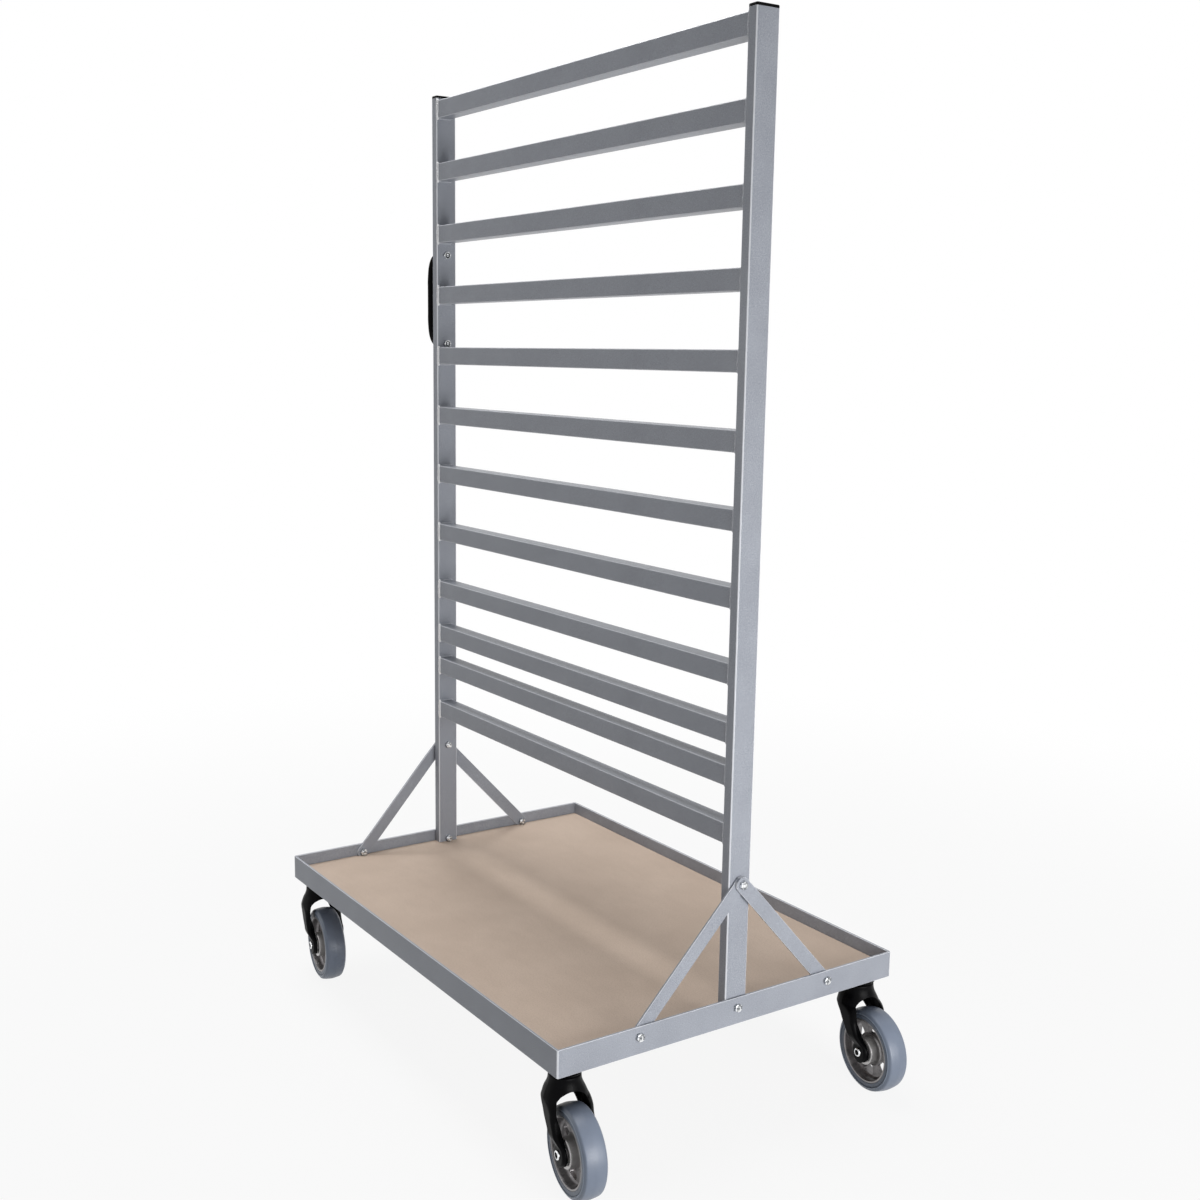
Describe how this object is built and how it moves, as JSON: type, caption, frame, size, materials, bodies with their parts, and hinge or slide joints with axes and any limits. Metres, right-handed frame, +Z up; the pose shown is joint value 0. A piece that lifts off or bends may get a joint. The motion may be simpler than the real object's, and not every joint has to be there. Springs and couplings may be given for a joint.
{
  "type": "warehouse trolley",
  "caption": "Flat platform trolley with a raised rim, a tall ladder frame of rungs braced across its middle, a bow handle and swivel castors.",
  "frame": {"origin": "centre of the deck board's top face", "axes": "+X along the platform towards the end without the handle, +Y across the platform, +Z up along the uprights"},
  "size_m": [1.1184, 0.7046, 1.7735],
  "materials": {
    "grey_paint": "silver-grey powder coat, satin",
    "deck_board": "bare fibreboard, matt, faintly mottled",
    "cap_plastic": "black, satin",
    "handle_plastic": "black, fine grained",
    "zinc_plate": "bright zinc plate",
    "castor_black": "black, semi-gloss",
    "axle_steel": "bright zinc plate",
    "cast_aluminium": "raw die casting with turned edges",
    "grey_rubber": "blue-grey elastic rubber, satin"
  },
  "bodies": {
    "frame": {"front_rail": "grey_paint", "right_rail": "grey_paint", "rear_rail": "grey_paint", "left_rail": "grey_paint", "deck_board": "deck_board", "front_right_corner_plate": "grey_paint", "rear_right_corner_plate": "grey_paint", "rear_left_corner_plate": "grey_paint", "front_left_corner_plate": "grey_paint", "left_upright": "grey_paint", "right_upright": "grey_paint", "left_upright_cap": "cap_plastic", "right_upright_cap": "cap_plastic", "rung_01": "grey_paint", "rung_02": "grey_paint", "rung_03": "grey_paint", "rung_04": "grey_paint", "rung_05": "grey_paint", "rung_06": "grey_paint", "rung_07": "grey_paint", "rung_08": "grey_paint", "rung_09": "grey_paint", "rung_10": "grey_paint", "rung_11": "grey_paint", "rung_12": "grey_paint", "left_front_brace": "grey_paint", "left_front_brace_bolt": "zinc_plate", "left_rear_brace": "grey_paint", "left_rear_brace_bolt": "zinc_plate", "left_upright_bolt": "zinc_plate", "left_brace_top_bolt": "zinc_plate", "right_front_brace": "grey_paint", "right_front_brace_bolt": "zinc_plate", "right_rear_brace": "grey_paint", "right_rear_brace_bolt": "zinc_plate", "right_upright_bolt": "zinc_plate", "right_brace_top_bolt": "zinc_plate", "bow_handle": "handle_plastic", "handle_screw_lower": "zinc_plate", "handle_screw_upper": "zinc_plate", "front_right_swivel_head": "castor_black", "rear_right_swivel_head": "castor_black", "rear_left_swivel_head": "castor_black", "front_left_swivel_head": "castor_black"},
    "front_right_fork_body": {"front_right_fork": "castor_black", "front_right_axle": "axle_steel"},
    "front_right_wheel_body": {"front_right_wheel_core": "cast_aluminium", "front_right_tyre": "grey_rubber"},
    "rear_right_fork_body": {"rear_right_fork": "castor_black", "rear_right_axle": "axle_steel"},
    "rear_right_wheel_body": {"rear_right_wheel_core": "cast_aluminium", "rear_right_tyre": "grey_rubber"},
    "rear_left_fork_body": {"rear_left_fork": "castor_black", "rear_left_axle": "axle_steel"},
    "rear_left_wheel_body": {"rear_left_wheel_core": "cast_aluminium", "rear_left_tyre": "grey_rubber"},
    "front_left_fork_body": {"front_left_fork": "castor_black", "front_left_axle": "axle_steel"},
    "front_left_wheel_body": {"front_left_wheel_core": "cast_aluminium", "front_left_tyre": "grey_rubber"}
  },
  "joints": [
    {"name": "front_right_swivel", "type": "hinge", "parent": "frame", "child": "front_right_fork_body", "pos_m": [0.4625, -0.3115, -0.0353], "axis": [0, 0, 1], "continuous": true},
    {"name": "front_right_wheel_spin", "type": "hinge", "parent": "front_right_fork_body", "child": "front_right_wheel_body", "pos_m": [0.50805, -0.3179, -0.1438], "axis": [0.1392, 0.9903, 0], "continuous": true},
    {"name": "rear_right_swivel", "type": "hinge", "parent": "frame", "child": "rear_right_fork_body", "pos_m": [0.4625, 0.3115, -0.0353], "axis": [0, 0, 1], "continuous": true},
    {"name": "rear_right_wheel_spin", "type": "hinge", "parent": "rear_right_fork_body", "child": "rear_right_wheel_body", "pos_m": [0.50829, 0.30709, -0.1438], "axis": [0.0958, 0.9954, 0], "continuous": true},
    {"name": "rear_left_swivel", "type": "hinge", "parent": "frame", "child": "rear_left_fork_body", "pos_m": [-0.4625, 0.3115, -0.0353], "axis": [0, 0, 1], "continuous": true},
    {"name": "rear_left_wheel_spin", "type": "hinge", "parent": "rear_left_fork_body", "child": "rear_left_wheel_body", "pos_m": [-0.41677, 0.30653, -0.1438], "axis": [0.108, 0.9942, 0], "continuous": true},
    {"name": "front_left_swivel", "type": "hinge", "parent": "frame", "child": "front_left_fork_body", "pos_m": [-0.4625, -0.3115, -0.0353], "axis": [0, 0, 1], "continuous": true},
    {"name": "front_left_wheel_spin", "type": "hinge", "parent": "front_left_fork_body", "child": "front_left_wheel_body", "pos_m": [-0.41686, -0.31727, -0.1438], "axis": [0.1253, 0.9921, 0], "continuous": true}
  ]
}
